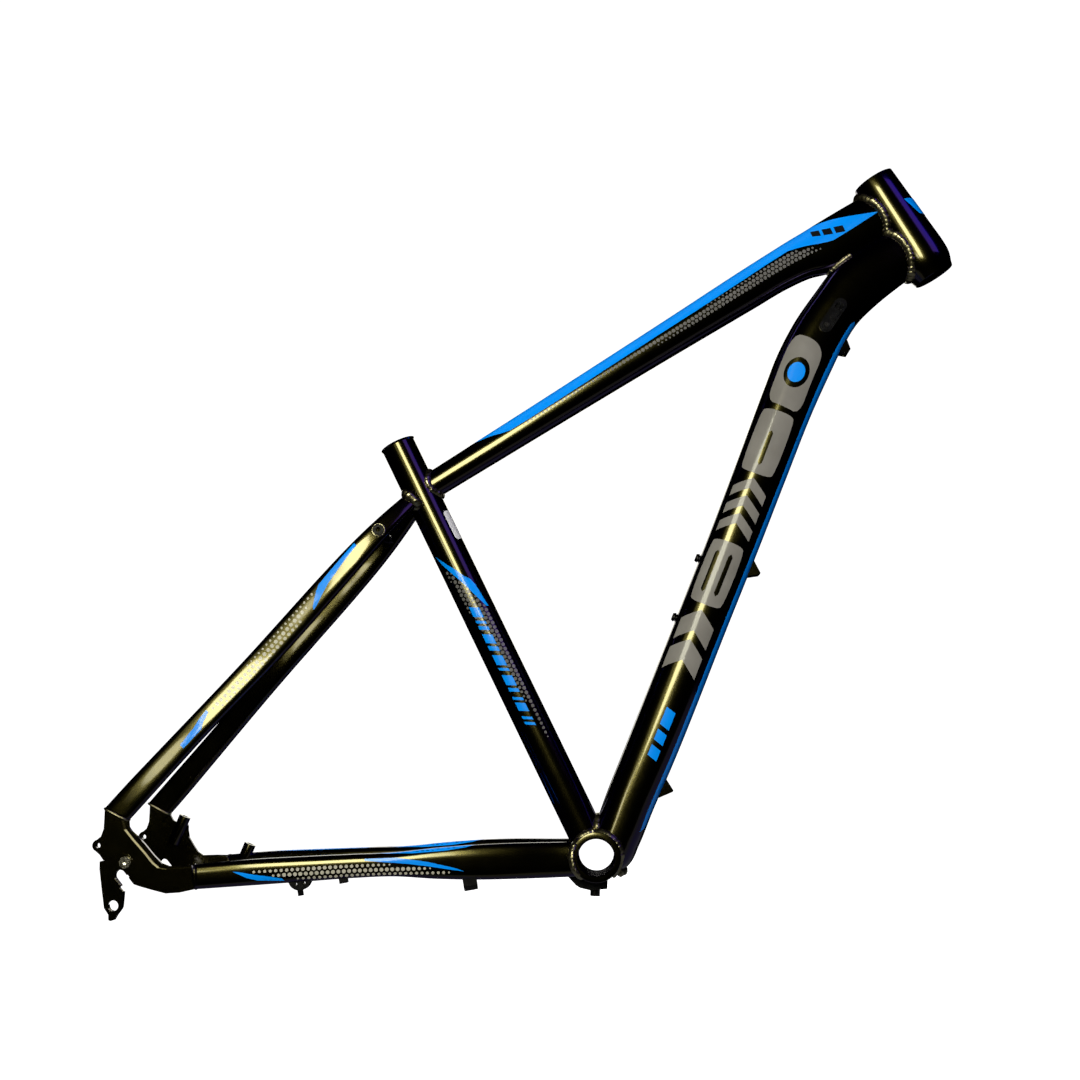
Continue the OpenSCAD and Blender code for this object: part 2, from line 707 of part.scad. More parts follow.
module port_screw() color(bright) port_place() translate([-12.5, 0, 0]) difference() {
    union() {
        translate([0, 0, 1.7]) cylinder(h = 1.5, d1 = 5.6, d2 = 4.6);
        translate([0, 0, -5]) cylinder(h = 7, d = 3);
    }
    translate([0, 0, 2.2]) cylinder(h = 3, d = 2, $fn = 6);
}

head_tube();
top_tube();
down_tube();
seat_tube();
bb_shell();
chainstay_right();
chainstay_left();
chainstay_bridge();
seatstay_right();
seatstay_left();
seatstay_bridge();
dropout_right();
dropout_left();
brake_post_front();
derailleur_hanger();
hanger_bolt();
hanger_nut();
rack_boss_right();
rack_boss_left();
bottle_bosses();
bottle_bolts();
hose_guide_top();
hose_guide_middle();
hose_guide_bottom();
chainstay_guide_rear();
chainstay_guide_middle();
chainstay_guide_front();
bb_cable_guide();
bb_guide_screw();
port_frame();
port_cover();
port_screw();
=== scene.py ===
import math
import random

import bmesh
import bpy
import numpy as np
from mathutils import Matrix, Vector


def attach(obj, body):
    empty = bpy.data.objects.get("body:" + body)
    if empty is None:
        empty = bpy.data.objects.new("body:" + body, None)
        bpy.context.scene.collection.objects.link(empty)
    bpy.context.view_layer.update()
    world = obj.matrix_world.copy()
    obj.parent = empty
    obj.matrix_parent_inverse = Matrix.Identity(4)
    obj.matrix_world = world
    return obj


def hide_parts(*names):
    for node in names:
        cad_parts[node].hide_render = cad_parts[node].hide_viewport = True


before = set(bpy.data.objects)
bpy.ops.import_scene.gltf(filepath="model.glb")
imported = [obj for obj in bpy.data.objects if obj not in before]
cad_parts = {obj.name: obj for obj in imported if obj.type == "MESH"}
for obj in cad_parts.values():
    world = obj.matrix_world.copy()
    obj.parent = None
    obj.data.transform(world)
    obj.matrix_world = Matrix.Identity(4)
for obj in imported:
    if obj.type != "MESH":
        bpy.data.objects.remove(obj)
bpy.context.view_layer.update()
MM = 0.001
Y = np.array([0.0, 1.0, 0.0])

# ---------- the frame's geometry, as in the CAD ----------


def lean(degrees, sign):
    """Unit vector in the XZ plane at this angle to the ground, leaning forward for sign 1"""
    a = math.radians(degrees)
    return np.array([sign * math.cos(a), 0.0, math.sin(a)])


SEAT_DIR = lean(73.85, -1)
SEAT_BACK = np.array([-SEAT_DIR[2], 0.0, SEAT_DIR[0]])
HEAD_DIR = lean(70, -1)
DOWN_DIR = lean(58, 1)
DOWN_FRONT = np.array([DOWN_DIR[2], 0.0, -DOWN_DIR[0]])
DOWN_SHIFT = 11.6
HEAD_TOP = np.array([403.5, 0.0, 626.0])
HEAD_LENGTH = 119
HEAD_BOTTOM = HEAD_TOP - HEAD_DIR * HEAD_LENGTH
TOP_TUBE_DROP = 27.8
JOINT = SEAT_DIR * 402
SEAT_TOP = 458.0
STAY_LENGTH = 448.0
AXLE_RISE = 62.0
AXLE = np.array([-math.sqrt(STAY_LENGTH**2 - AXLE_RISE**2), 0.0, AXLE_RISE])
SEAT_R = 17.45
SEAT_BORE_R = 15.8
SHELL_R = 23.75
SHELL_HALF = 36.5

# share of the span, rise, half depth, half width
TOP_PLAN = [
    (0, 0, 13.5, 13.5), (0.07, 0, 14, 14), (0.33, 0, 16, 15.6), (0.58, 0, 18.6, 17.4),
    (0.69, 0, 20.1, 18), (0.765, -0.3, 20.9, 18.4), (0.815, -2.2, 23, 18.6), (0.85, -5.4, 26.1, 18.7),
    (0.905, -7.3, 27.6, 18.7), (0.985, -8, 27, 18.5),
]
# distance along the axis, shift to the front, half depth, half width
DOWN_LOW = [
    (-4, -5, 17, 26.5), (8, -1, 22.8, 28), (25, 0, 23.6, 28), (60, -0.3, 24.3, 27.6), (109, 0.6, 25.1, 27),
    (263, 1, 25.6, 25.6), (343, 1.3, 26, 25), (418, 0.8, 26.4, 24.6), (497, 0.4, 27.3, 24),
]
# place from the head tube's lower end, half depth, half width
DOWN_HIGH = [
    (-149.8, -67.5, 28.3, 23.6), (-127.8, -38.7, 27.7, 23.2), (-104, -13.9, 26.9, 23),
    (-84.3, 2.3, 28.6, 22.6), (-42.3, 24.5, 27.6, 20.9), (-17.3, 35.5, 26.5, 18.6),
]
# share of the run, rise, distance from the middle, half depth, half width
CHAIN_PLAN = [
    (0.03, -0.3, 26, 16.3, 9.4), (0.1, 0, 28.6, 16.7, 9), (0.22, 1.1, 38, 16.9, 8),
    (0.29, 1.5, 42, 16.5, 7.5), (0.4, 2.1, 45.5, 14.5, 8), (0.51, 2.9, 48.5, 11.2, 9),
    (0.6, 3.1, 51, 11.2, 9.4), (0.72, 2.5, 55.5, 11.8, 9.4), (0.86, 1.6, 61.5, 12.2, 8.6),
    (1, -0.2, 67, 11.6, 7.5),
]
# share of the run, distance from the middle, half depth, half width
SEATSTAY_PLAN = [
    (0, 69.5, 12.3, 6.6), (0.09, 67.5, 12.3, 7), (0.19, 63.5, 11.8, 7), (0.28, 59, 11.4, 7),
    (0.38, 51, 11.7, 7), (0.47, 44.5, 12.2, 7), (0.57, 42.2, 12.4, 7), (0.72, 42, 11.9, 7),
    (0.8, 40.2, 11.2, 7), (0.86, 35.8, 10.3, 7), (0.92, 27, 9.2, 7), (0.965, 19, 8.2, 6.6),
    (1.015, 12, 7.4, 5),
]


def unit(v):
    """A vector, or each of many, at length 1"""
    return v / np.linalg.norm(v, axis=-1, keepdims=True)


class Tube:
    """A formed tube through stations of x, y, z, half depth, half width, with a superelliptic section.
    t counts stations, u is the distance along the tube, v the arc from the middle of its side."""

    def __init__(self, stations, power):
        self.stations = np.array(stations, float)
        self.power = power
        self.last = len(self.stations) - 1
        self.gaps = np.linalg.norm(np.diff(self.stations[:, :3], axis=0), axis=1)
        chords = np.diff(self.stations, axis=0) / self.gaps[:, None]
        before = self.gaps[:-1, None]
        after = self.gaps[1:, None]
        middle = (chords[1:] * before + chords[:-1] * after) / (before + after)
        self.slopes = np.vstack([chords[:1], middle, chords[-1:]])
        self.fine = np.linspace(0, self.last, 60 * self.last + 1)
        hops = np.linalg.norm(np.diff(self.station(self.fine)[:, :3], axis=0), axis=1)
        self.lengths = np.concatenate([[0], np.cumsum(hops)])

    def station(self, t):
        """Centre, half depth and half width at t, on a smooth curve through the stations"""
        t = np.asarray(t, float)
        i = np.clip(np.floor(t).astype(int), 0, self.last - 1)
        s = (t - i)[..., None]
        gap = self.gaps[i][..., None]
        near = self.stations[i] * (2 * s**3 - 3 * s**2 + 1) + self.slopes[i] * gap * (s**3 - 2 * s**2 + s)
        far = self.stations[i + 1] * (3 * s**2 - 2 * s**3) + self.slopes[i + 1] * gap * (s**3 - s**2)
        return near + far

    def axes(self, t):
        """Directions along the tube, to its left side and to its top"""
        along = unit(self.station(t + 0.01)[..., :3] - self.station(t - 0.01)[..., :3])
        side = unit(Y - along * along[..., 1:2])
        return along, side, np.cross(along, side)

    def rounded(self, c):
        """A cosine or sine bent from the circle to the superellipse"""
        return np.sign(c) * np.abs(c) ** (2 / self.power)

    def surface(self, t, angle, lift=0.0):
        """Points on the tube and the directions out of it. Angle 0 is the left side, 90 degrees the top."""
        s = self.station(t)
        side, up = self.axes(t)[1:]
        c = self.rounded(np.cos(angle))
        n = self.rounded(np.sin(angle))
        steep = self.power - 1
        out = side * (np.sign(c) * np.abs(c) ** steep / s[..., 4])[..., None]
        out = unit(out + up * (np.sign(n) * np.abs(n) ** steep / s[..., 3])[..., None])
        place = s[..., :3] + side * (s[..., 4] * c)[..., None] + up * (s[..., 3] * n)[..., None]
        return place + out * lift, out

    def at(self, u):
        """The t at a distance along the tube"""
        return np.interp(u, self.lengths, self.fine)

    def arcs(self, t):
        """For each t, the arc from the side's middle at each of 91 angles up to the crown"""
        q = np.linspace(0, math.pi / 2, 91)
        s = self.station(t)
        x = s[..., 4:5] * self.rounded(np.cos(q))
        y = s[..., 3:4] * self.rounded(np.sin(q))
        hops = np.hypot(np.diff(x, axis=-1), np.diff(y, axis=-1))
        return q, np.concatenate([np.zeros(x.shape[:-1] + (1,)), np.cumsum(hops, axis=-1)], axis=-1)

    def crown(self, u):
        """Arc from the side's middle to the crown"""
        return float(self.arcs(self.at(np.array([u])))[1][0, -1])

    def on_side(self, u, v, left, lift):
        """Points on one side, u along the tube and v round it from the side's middle"""
        t = self.at(np.asarray(u, float))
        q, arcs = self.arcs(t)
        angle = np.array([math.copysign(np.interp(abs(w), a, q), w) for w, a in zip(v, arcs)])
        return self.surface(t, angle if left else math.pi - angle, lift)[0]


def top_stations():
    """The top tube, from the seat joint to the head tube"""
    run = HEAD_TOP - HEAD_DIR * TOP_TUBE_DROP - JOINT
    up = unit(np.array([-run[2], 0.0, run[0]]))
    return [[*(JOINT + run * share + up * rise), h, w] for share, rise, h, w in TOP_PLAN]


def down_stations():
    """The down tube, from the bottom bracket to the head tube"""
    foot = DOWN_FRONT * DOWN_SHIFT
    low = [[*(foot + DOWN_DIR * far + DOWN_FRONT * front), h, w] for far, front, h, w in DOWN_LOW]
    return low + [[HEAD_BOTTOM[0] + x, 0, HEAD_BOTTOM[2] + z, h, w] for x, z, h, w in DOWN_HIGH]


def chain_stations(sign):
    """A chainstay, from the bottom bracket to its dropout, sign 1 for the left one"""
    end = (AXLE[0] + 67.6, AXLE[2] - 12.2)
    return [[end[0] * s, sign * y, end[1] * s - 1 + rise, h, w] for s, rise, y, h, w in CHAIN_PLAN]


def seatstay_stations(sign):
    """A seatstay, from its dropout to the seat joint, sign 1 for the left one"""
    start = AXLE + np.array([-5.7, 0, 49.6])
    run = JOINT - np.array([0, 0, 1.7]) - start
    return [[start[0] + run[0] * s, sign * y, start[2] + run[2] * s, h, w] for s, y, h, w in SEATSTAY_PLAN]


def head_stations():
    """The head tube's outside, which only the decal on it follows"""
    profile = [(-HEAD_LENGTH, 20.6), (-106, 25.1), (-98, 26), (-88, 26), (-60, 24.6), (-30, 23.15),
               (-0.6, 21.7), (0, 21.6)]
    return [[*(HEAD_TOP + HEAD_DIR * z), r, r] for z, r in profile]


TOP = Tube(top_stations(), 2.1)
DOWN = Tube(down_stations(), 2.3)
SIDES = (("right", -1), ("left", 1))
CHAIN = {side: Tube(chain_stations(sign), 2.8) for side, sign in SIDES}
SEATSTAY = {side: Tube(seatstay_stations(sign), 3.6) for side, sign in SIDES}
SEAT = Tube([[*(SEAT_DIR * far), SEAT_R, SEAT_R] for far in (0, 150, 300, SEAT_TOP)], 2)
HEAD = Tube(head_stations(), 2)


def off_line(point, direction, radius):
    """How far a point is outside a round bar"""

    def value(p):
        d = p - point
        return np.linalg.norm(d - (d @ direction)[..., None] * direction, axis=-1) - radius

    return value


def off_tube(tube):
    """How far outside a formed tube a point is, roughly in millimetres"""
    centres = tube.station(tube.fine)

    def value(p):
        flat = p.reshape(-1, 3)
        result = np.empty(len(flat))
        for first in range(0, len(flat), 4000):
            some = flat[first : first + 4000]
            nearest = np.argmin(((some[:, None, :] - centres[None, :, :3]) ** 2).sum(-1), axis=1)
            t = tube.fine[nearest]
            s = tube.station(t)
            side, up = tube.axes(t)[1:]
            d = some - s[:, :3]
            x = np.abs((d * side).sum(-1)) / s[:, 4]
            y = np.abs((d * up).sum(-1)) / s[:, 3]
            reach = (x**tube.power + y**tube.power) ** (1 / tube.power)
            result[first : first + 4000] = (reach - 1) * s[:, 4]
        return result.reshape(p.shape[:-1])

    return value


def crossing(tube, angles, value, at_end):
    """For each angle, the t at which the tube comes out of what value measures, and whether it does"""
    ts = np.linspace(0, tube.last, 40 * tube.last + 1)
    if at_end:
        ts = ts[::-1]
    grid_t, grid_a = np.meshgrid(ts, angles, indexing="ij")
    away = value(tube.surface(grid_t, grid_a)[0])
    first = np.argmax(away > 0, axis=0)
    found = first > 0
    k = np.arange(len(angles))
    before = away[np.maximum(first - 1, 0), k]
    after = away[first, k]
    share = np.where(found, before / np.where(found, before - after, 1), 0)
    start = ts[np.maximum(first - 1, 0)]
    return np.where(found, start + (ts[first] - start) * share, ts[0]), found


# ---------- meshes ----------

SCENE = bpy.context.scene


def keep(bm, name, material, node=None):
    """Makes an object of a bmesh whose points are in millimetres, and lets it ride on the frame"""
    for vertex in bm.verts:
        vertex.co *= MM
    mesh = bpy.data.meshes.new(name)
    bm.to_mesh(mesh)
    bm.free()
    for polygon in mesh.polygons:
        polygon.use_smooth = True
    mesh.materials.append(material)
    piece = bpy.data.objects.new(name, mesh)
    SCENE.collection.objects.link(piece)
    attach(piece, "root")
    if node:
        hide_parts(node)


def loft(bm, rings, cap_start, cap_end):
    """Skins rings of points, each an array of the same length"""
    rows = [[bm.verts.new(p) for p in ring] for ring in rings]
    sides = len(rows[0])
    for low, high in zip(rows, rows[1:]):
        for k in range(sides):
            n = (k + 1) % sides
            bm.faces.new((low[k], high[k], high[n], low[n]))
    for row, wanted in ((rows[0], cap_start), (rows[-1][::-1], cap_end)):
        if wanted:
            middle = bm.verts.new(sum((v.co for v in row), Vector()) / sides)
            for k in range(sides):
                bm.faces.new((middle, row[k], row[(k + 1) % sides]))


def tube_piece(name, tube, material, start=None, end=None, caps=(False, False), sides=96, per_gap=12):
    """The whole outside of a formed tube, cut where it comes out of its neighbours at both ends"""
    angles = 2 * math.pi * (np.arange(sides) + 0.5) / sides
    first = crossing(tube, angles, start, False)[0] if start else np.zeros(sides)
    final = crossing(tube, angles, end, True)[0] if end else np.full(sides, float(tube.last))
    shares = np.linspace(0, 1, per_gap * tube.last + 1)[:, None]
    everywhere = np.broadcast_to(angles, (len(shares), sides))
    points = tube.surface(first + (final - first) * shares, everywhere)[0]
    bm = bmesh.new()
    loft(bm, points, *caps)
    bmesh.ops.recalc_face_normals(bm, faces=bm.faces[:])
    keep(bm, name, material, node=name)


# the sides that a decal is on, True for the left one
BOTH = (False, True)
RIGHT = (False,)
# how far apart a decal is cut, so that it bends with its tube, and how high decals stand on the paint
CUT_ALONG = 5.0
CUT_ROUND = 1.6
DECAL_LIFT = 0.07
DOT_LIFT = 0.06


def decal(name, tube, shapes, material, sides=BOTH, lift=DECAL_LIFT):
    """Painted shapes that follow a tube. Each shape is an outline and its holes, as points of u and v"""
    bm = bmesh.new()
    for outline, *holes in shapes:
        edges = []
        for loop in [outline, *holes]:
            corners = [bm.verts.new((u, v, 0)) for u, v in loop]
            edges += [bm.edges.new(pair) for pair in zip(corners, corners[1:] + corners[:1])]
        bmesh.ops.triangle_fill(bm, use_beauty=True, use_dissolve=False, edges=edges)
    flat = np.array([v.co for v in bm.verts])
    for axis, step in ((0, CUT_ALONG), (1, CUT_ROUND)):
        for cut in np.arange(flat[:, axis].min() + step, flat[:, axis].max(), step):
            direction = (1, 0, 0) if axis == 0 else (0, 1, 0)
            place = (cut, 0, 0) if axis == 0 else (0, cut, 0)
            everything = bm.verts[:] + bm.edges[:] + bm.faces[:]
            bmesh.ops.bisect_plane(bm, geom=everything, dist=1e-5, plane_co=place, plane_no=direction)
    wrap(bm, name, tube, material, sides, lift)


def wrap(bm, name, tube, material, sides, lift):
    """Lays a flat mesh in u and v on the tube's sides, with the left one mirrored from the right"""
    bmesh.ops.recalc_face_normals(bm, faces=bm.faces[:])
    for face in bm.faces:
        if face.normal.z < 0:
            face.normal_flip()
    flat = np.array([v.co for v in bm.verts])
    whole = bmesh.new()
    for left in sides:
        points = tube.on_side(flat[:, 0], flat[:, 1], left, lift)
        corners = [whole.verts.new(p) for p in points]
        for index, vertex in enumerate(bm.verts):
            vertex.index = index
        for face in bm.faces:
            order = [corners[v.index] for v in face.verts]
            whole.faces.new(order[::-1] if left else order)
    bm.free()
    keep(whole, name, material)


def inside(outline, u, v):
    """Whether a point is inside an outline, and how far it is from the outline"""
    hit = False
    nearest = 1e9
    for (au, av), (bu, bv) in zip(outline, outline[1:] + outline[:1]):
        if (av > v) != (bv > v) and u < (bu - au) * (v - av) / (bv - av) + au:
            hit = not hit
        run = max((bu - au) ** 2 + (bv - av) ** 2, 1e-9)
        share = min(1, max(0, ((u - au) * (bu - au) + (v - av) * (bv - av)) / run))
        nearest = min(nearest, math.hypot(u - au - share * (bu - au), v - av - share * (bv - av)))
    return hit, nearest


def add_dot(bm, u, v, size, sides=12):
    """A flat round dot with an inner ring, so that it can follow a curved tube"""
    turns = [2 * math.pi * k / sides for k in range(sides)]
    middle = bm.verts.new((u, v, 0))
    inner, outer = ([bm.verts.new((u + r * math.cos(a), v + r * math.sin(a), 0)) for a in turns]
                    for r in (0.55 * size, size))
    for k in range(sides):
        n = (k + 1) % sides
        bm.faces.new((middle, inner[k], inner[n]))
        bm.faces.new((inner[k], outer[k], outer[n], inner[n]))


def halftone(name, tube, outline, pitch, radius, material, row_at, sides=BOTH):
    """A hexagonal field of round dots that shrink towards the edges of an outline"""
    smallest = 0.42
    growth = 0.22
    bm = bmesh.new()
    row_gap = pitch * math.sqrt(3) / 2
    low = min(v for u, v in outline)
    high = max(v for u, v in outline)
    start = min(u for u, v in outline)
    stop = max(u for u, v in outline)
    for row in range(math.floor((low - row_at) / row_gap), math.ceil((high - row_at) / row_gap) + 1):
        v = row_at + row * row_gap
        for column in range(int((stop - start) / pitch) + 2):
            u = start + (column + 0.5 * (row % 2)) * pitch
            hit, edge = inside(outline, u, v)
            size = radius * min(1, smallest + growth * edge)
            if hit:
                add_dot(bm, u, v, size)
    wrap(bm, name, tube, material, sides, DOT_LIFT)


def softened(outline, rounds=2, share=0.25):
    """An outline with its corners cut again and again until they are round"""
    for _ in range(rounds):
        points = []
        for (au, av), (bu, bv) in zip(outline, outline[1:] + outline[:1]):
            points.append((au + (bu - au) * share, av + (bv - av) * share))
            points.append((bu - (bu - au) * share, bv - (bv - av) * share))
        outline = points
    return outline


def ellipse(u, v, radius_u, radius_v, count=36):
    """An ellipse as an outline of points"""
    return [(u + radius_u * math.cos(a), v + radius_v * math.sin(a))
            for a in (2 * math.pi * k / count for k in range(count))]


def bars(spans, high, low, slant):
    """Slanted bars, each from one u to another"""
    return [[[(a + slant, high), (b + slant, high), (b, low), (a, low)]] for a, b in spans]


def bead(bm, path, out, radius, pitch, seed, closed):
    """A weld bead along points, like a row of overlapping coins of slightly uneven size and place"""
    size_spread = 0.13
    side_spread = 0.12
    wide = 1.15
    tall = 0.8
    chance = random.Random(seed)
    points = [Vector(p) for p in path]
    ups = [Vector(p) for p in out]
    if closed:
        points.append(points[0])
        ups.append(ups[0])
    hops = [0.0]
    for a, b in zip(points, points[1:]):
        hops.append(hops[-1] + (b - a).length)
    total = hops[-1]
    coins = max(2, round(total / pitch))
    per_coin = 7
    steps = coins * per_coin
    sizes = [1 + chance.uniform(-size_spread, size_spread) for k in range(coins)]
    wander = [chance.uniform(-side_spread, side_spread) * radius for k in range(coins)]
    ring_sides = 10
    rows = []
    for step in range(steps if closed else steps + 1):
        far = total * step / steps
        i = max(0, min(len(hops) - 2, int(np.searchsorted(hops, far, side="right")) - 1))
        share = (far - hops[i]) / max(hops[i + 1] - hops[i], 1e-9)
        centre = points[i].lerp(points[i + 1], share)
        up = ups[i].lerp(ups[i + 1], share).normalized()
        ahead = (points[i + 1] - points[i]).normalized()
        across = ahead.cross(up).normalized()
        up = across.cross(ahead).normalized()
        coin = (step // per_coin) % coins
        phase = (step % per_coin) / per_coin
        size = radius * sizes[coin] * (0.78 + 0.26 * math.sqrt(max(0.0, 1 - phase)))
        centre = centre + across * wander[coin] * math.sin(math.pi * phase)
        row = []
        for a in (2 * math.pi * k / ring_sides for k in range(ring_sides)):
            rim = centre + across * (math.cos(a) * size * wide) + up * (math.sin(a) * size * tall)
            row.append(bm.verts.new(rim + ahead * (0.5 * radius * math.cos(a) ** 2)))
        rows.append(row)
    pairs = list(zip(rows, rows[1:]))
    if closed:
        pairs.append((rows[-1], rows[0]))
    for low, high in pairs:
        for k in range(ring_sides):
            n = (k + 1) % ring_sides
            bm.faces.new((low[k], low[n], high[n], high[k]))
    if not closed:
        bm.faces.new(rows[0][::-1])
        bm.faces.new(rows[-1])


def seam(tube, value, at_end, count=120, only=None):
    """The line where a tube meets its neighbour, and the directions out of the corner"""
    tilt = 0.9
    angles = 2 * math.pi * (np.arange(count) + 0.5) / count
    t, found = crossing(tube, angles, value, at_end)
    wanted = found if only is None else found & only(angles)
    points, out = tube.surface(t[wanted], angles[wanted])
    along = tube.axes(t[wanted])[0]
    away = -along if at_end else along
    return points, unit(out + away * tilt)


def runs_of(line, longest_hop=10):
    """A seam as one closed run, or as open runs where it has gaps"""
    points, out = line
    hops = np.linalg.norm(points - np.roll(points, 1, axis=0), axis=1)
    breaks = np.flatnonzero(hops > longest_hop)
    if len(breaks) == 0:
        return [(points, out, True)]
    order = np.roll(np.arange(len(points)), -breaks[0])
    parts = np.split(order, breaks[1:] - breaks[0])
    return [(points[part], out[part], False) for part in parts if len(part) > 3]


# ---------- materials ----------


class Look:
    """A node material with one Principled shader and short helpers for its pattern nodes"""

    def __init__(self, name):
        self.material = bpy.data.materials.new(name)
        self.material.use_nodes = True
        self.tree = self.material.node_tree
        self.shader = self.tree.nodes["Principled BSDF"]
        self.place = self.tree.nodes.new("ShaderNodeTexCoord").outputs["Object"]

    def node(self, kind, **values):
        """A new node with some of its properties set"""
        made = self.tree.nodes.new(kind)
        for name, value in values.items():
            setattr(made, name, value)
        return made

    def link(self, source, target):
        self.tree.links.new(source, target)

    def noise(self, scale, detail):
        """A noise pattern, its scale in waves per metre"""
        made = self.node("ShaderNodeTexNoise")
        made.inputs["Scale"].default_value = scale
        made.inputs["Detail"].default_value = detail
        self.link(self.place, made.inputs["Vector"])
        return made.outputs["Fac"]

    def remap(self, source, low, high, to_low, to_high):
        """Stretches the range low to high of a value to another range"""
        made = self.node("ShaderNodeMapRange")
        for socket, value in (("From Min", low), ("From Max", high), ("To Min", to_low), ("To Max", to_high)):
            made.inputs[socket].default_value = value
        self.link(source, made.inputs["Value"])
        return made.outputs["Result"]

    def mix(self, factor, first, second):
        """A blend of two colours"""
        made = self.node("ShaderNodeMix", data_type="RGBA")
        for value, socket in ((factor, made.inputs[0]), (first, made.inputs[6]), (second, made.inputs[7])):
            if isinstance(value, bpy.types.NodeSocket):
                self.link(value, socket)
            elif socket is made.inputs[0]:
                socket.default_value = value
            else:
                socket.default_value = (*value, 1)
        return made.outputs[2]

    def bump(self, height, strength, distance):
        """Bumps of a height pattern on the surface"""
        made = self.node("ShaderNodeBump")
        made.inputs["Strength"].default_value = strength
        made.inputs["Distance"].default_value = distance
        self.link(height, made.inputs["Height"])
        self.link(made.outputs["Normal"], self.shader.inputs["Normal"])

    def set(self, **values):
        """Sets or links the shader's sockets, whose names have _ for each space"""
        for name, value in values.items():
            socket = self.shader.inputs[name.replace("_", " ")]
            if isinstance(value, bpy.types.NodeSocket):
                self.link(value, socket)
            elif isinstance(value, tuple):
                socket.default_value = (*value, 1)
            else:
                socket.default_value = value


def pearl_paint():
    """Gloss black with fine gold flakes that turn blue violet where the surface turns away"""
    look = Look("pearl_black_paint")
    cloud = look.noise(9, 4)
    flake = look.noise(2600, 2)
    facing = look.node("ShaderNodeLayerWeight").outputs["Facing"]
    turn = look.remap(facing, 0.1, 0.3, 0, 1)
    gold = look.mix(cloud, (0.085, 0.075, 0.02), (0.1, 0.086, 0.03))
    violet = look.mix(cloud, (0.022, 0.01, 0.13), (0.03, 0.01, 0.16))
    pearl = look.mix(turn, gold, violet)
    look.set(Base_Color=look.mix(look.remap(flake, 0.3, 0.75, 0.6, 1), (0.004, 0.004, 0.003), pearl))
    look.set(Metallic=1.0, Roughness=look.remap(look.noise(60, 3), 0.3, 0.7, 0.16, 0.19))
    look.set(Coat_Weight=1.0, Coat_Roughness=0.08, Coat_IOR=1.45)
    look.bump(look.noise(420, 2), 0.02, 0.0002)
    return look.material


def weld_paint_with_painted_sheen():
    """The frame's paint over the rough skin of the weld beads: rougher, so it catches more of the light, and
    several times lighter in colour than the tubes' paint, which paints a sheen on the beads
    """
    look = Look("weld_painted_sheen")
    cloud = look.noise(90, 4)
    look.set(Base_Color=look.mix(cloud, (0.24, 0.22, 0.12), (0.48, 0.44, 0.28)), Metallic=1.0)
    look.set(Roughness=look.remap(look.noise(300, 3), 0.3, 0.7, 0.26, 0.4))
    look.set(Coat_Weight=1.0, Coat_Roughness=0.12, Coat_IOR=1.45)
    look.bump(look.noise(700, 3), 0.2, 0.0003)
    return look.material


def decal_paint(name, colour, second, roughness):
    """Smooth paint of two near colours under the frame's clear coat"""
    look = Look(name)
    tone = look.remap(look.noise(35, 3), 0.3, 0.7, 0, 1)
    look.set(Base_Color=look.mix(tone, colour, second))
    look.set(Roughness=look.remap(look.noise(300, 2), 0.3, 0.7, roughness * 0.85, roughness * 1.15))
    look.set(Specular_IOR_Level=0.1, Coat_Weight=1.0, Coat_Roughness=0.08, Coat_IOR=1.4)
    look.bump(look.noise(900, 2), 0.02, 0.0001)
    return look.material


def moulded_plastic():
    """Black plastic with a fine mould grain"""
    look = Look("moulded_black_plastic")
    look.set(Base_Color=look.mix(look.noise(30, 4), (0.002, 0.002, 0.0024), (0.005, 0.005, 0.0055)))
    look.set(Roughness=look.remap(look.noise(140, 3), 0.3, 0.7, 0.2, 0.3), Specular_IOR_Level=0.35)
    look.bump(look.noise(1400, 3), 0.05, 0.0002)
    return look.material


def flat_paint():
    """Thin black paint without gloss, over machined bosses"""
    look = Look("flat_black_paint")
    look.set(Base_Color=look.mix(look.noise(120, 4), (0.004, 0.004, 0.004), (0.012, 0.011, 0.009)))
    look.set(Roughness=look.remap(look.noise(400, 3), 0.3, 0.7, 0.5, 0.7), Specular_IOR_Level=0.25)
    look.bump(look.noise(1500, 2), 0.1, 0.0001)
    return look.material


def turned_steel(name, colour, second, roughness):
    """Machined steel with fine tool marks"""
    look = Look(name)
    look.set(Base_Color=look.mix(look.noise(220, 4), colour, second), Metallic=1.0)
    look.set(Roughness=look.remap(look.noise(500, 3), 0.3, 0.7, roughness * 0.7, roughness * 1.3))
    look.bump(look.noise(2200, 2), 0.12, 0.0001)
    return look.material


PAINT = pearl_paint()
# the weld beads get a gold several times lighter than the tubes' paint, a painted sheen that makes them read
# as lit lumps
WELD = weld_paint_with_painted_sheen()
# the stays' halftone dots are real print, but this cream is several times lighter than the grey dots on the
# main tubes, a painted highlight where they lie in the gold sheen
HALFTONE_PAINTED_HIGHLIGHT = decal_paint("halftone_painted_highlight", (0.42, 0.4, 0.32), (0.5, 0.48, 0.39), 0.36)
BLUE = decal_paint("blue_decal", (0.0, 0.29, 1.0), (0.0, 0.26, 0.94), 0.32)
SILVER = decal_paint("silver_decal", (0.19, 0.18, 0.162), (0.23, 0.22, 0.2), 0.36)
GREY = decal_paint("grey_halftone", (0.11, 0.107, 0.1), (0.15, 0.146, 0.14), 0.36)
INK = decal_paint("black_ink", (0.004, 0.004, 0.004), (0.008, 0.008, 0.008), 0.4)
WHITE = decal_paint("white_label", (0.82, 0.82, 0.84), (0.74, 0.74, 0.78), 0.4)
PLASTIC = moulded_plastic()
STEEL = turned_steel("bright_steel", (0.62, 0.6, 0.56), (0.74, 0.72, 0.68), 0.24)
FLAT_BLACK = flat_paint()
DARK_STEEL = turned_steel("blackened_steel", (0.05, 0.05, 0.052), (0.09, 0.088, 0.085), 0.34)

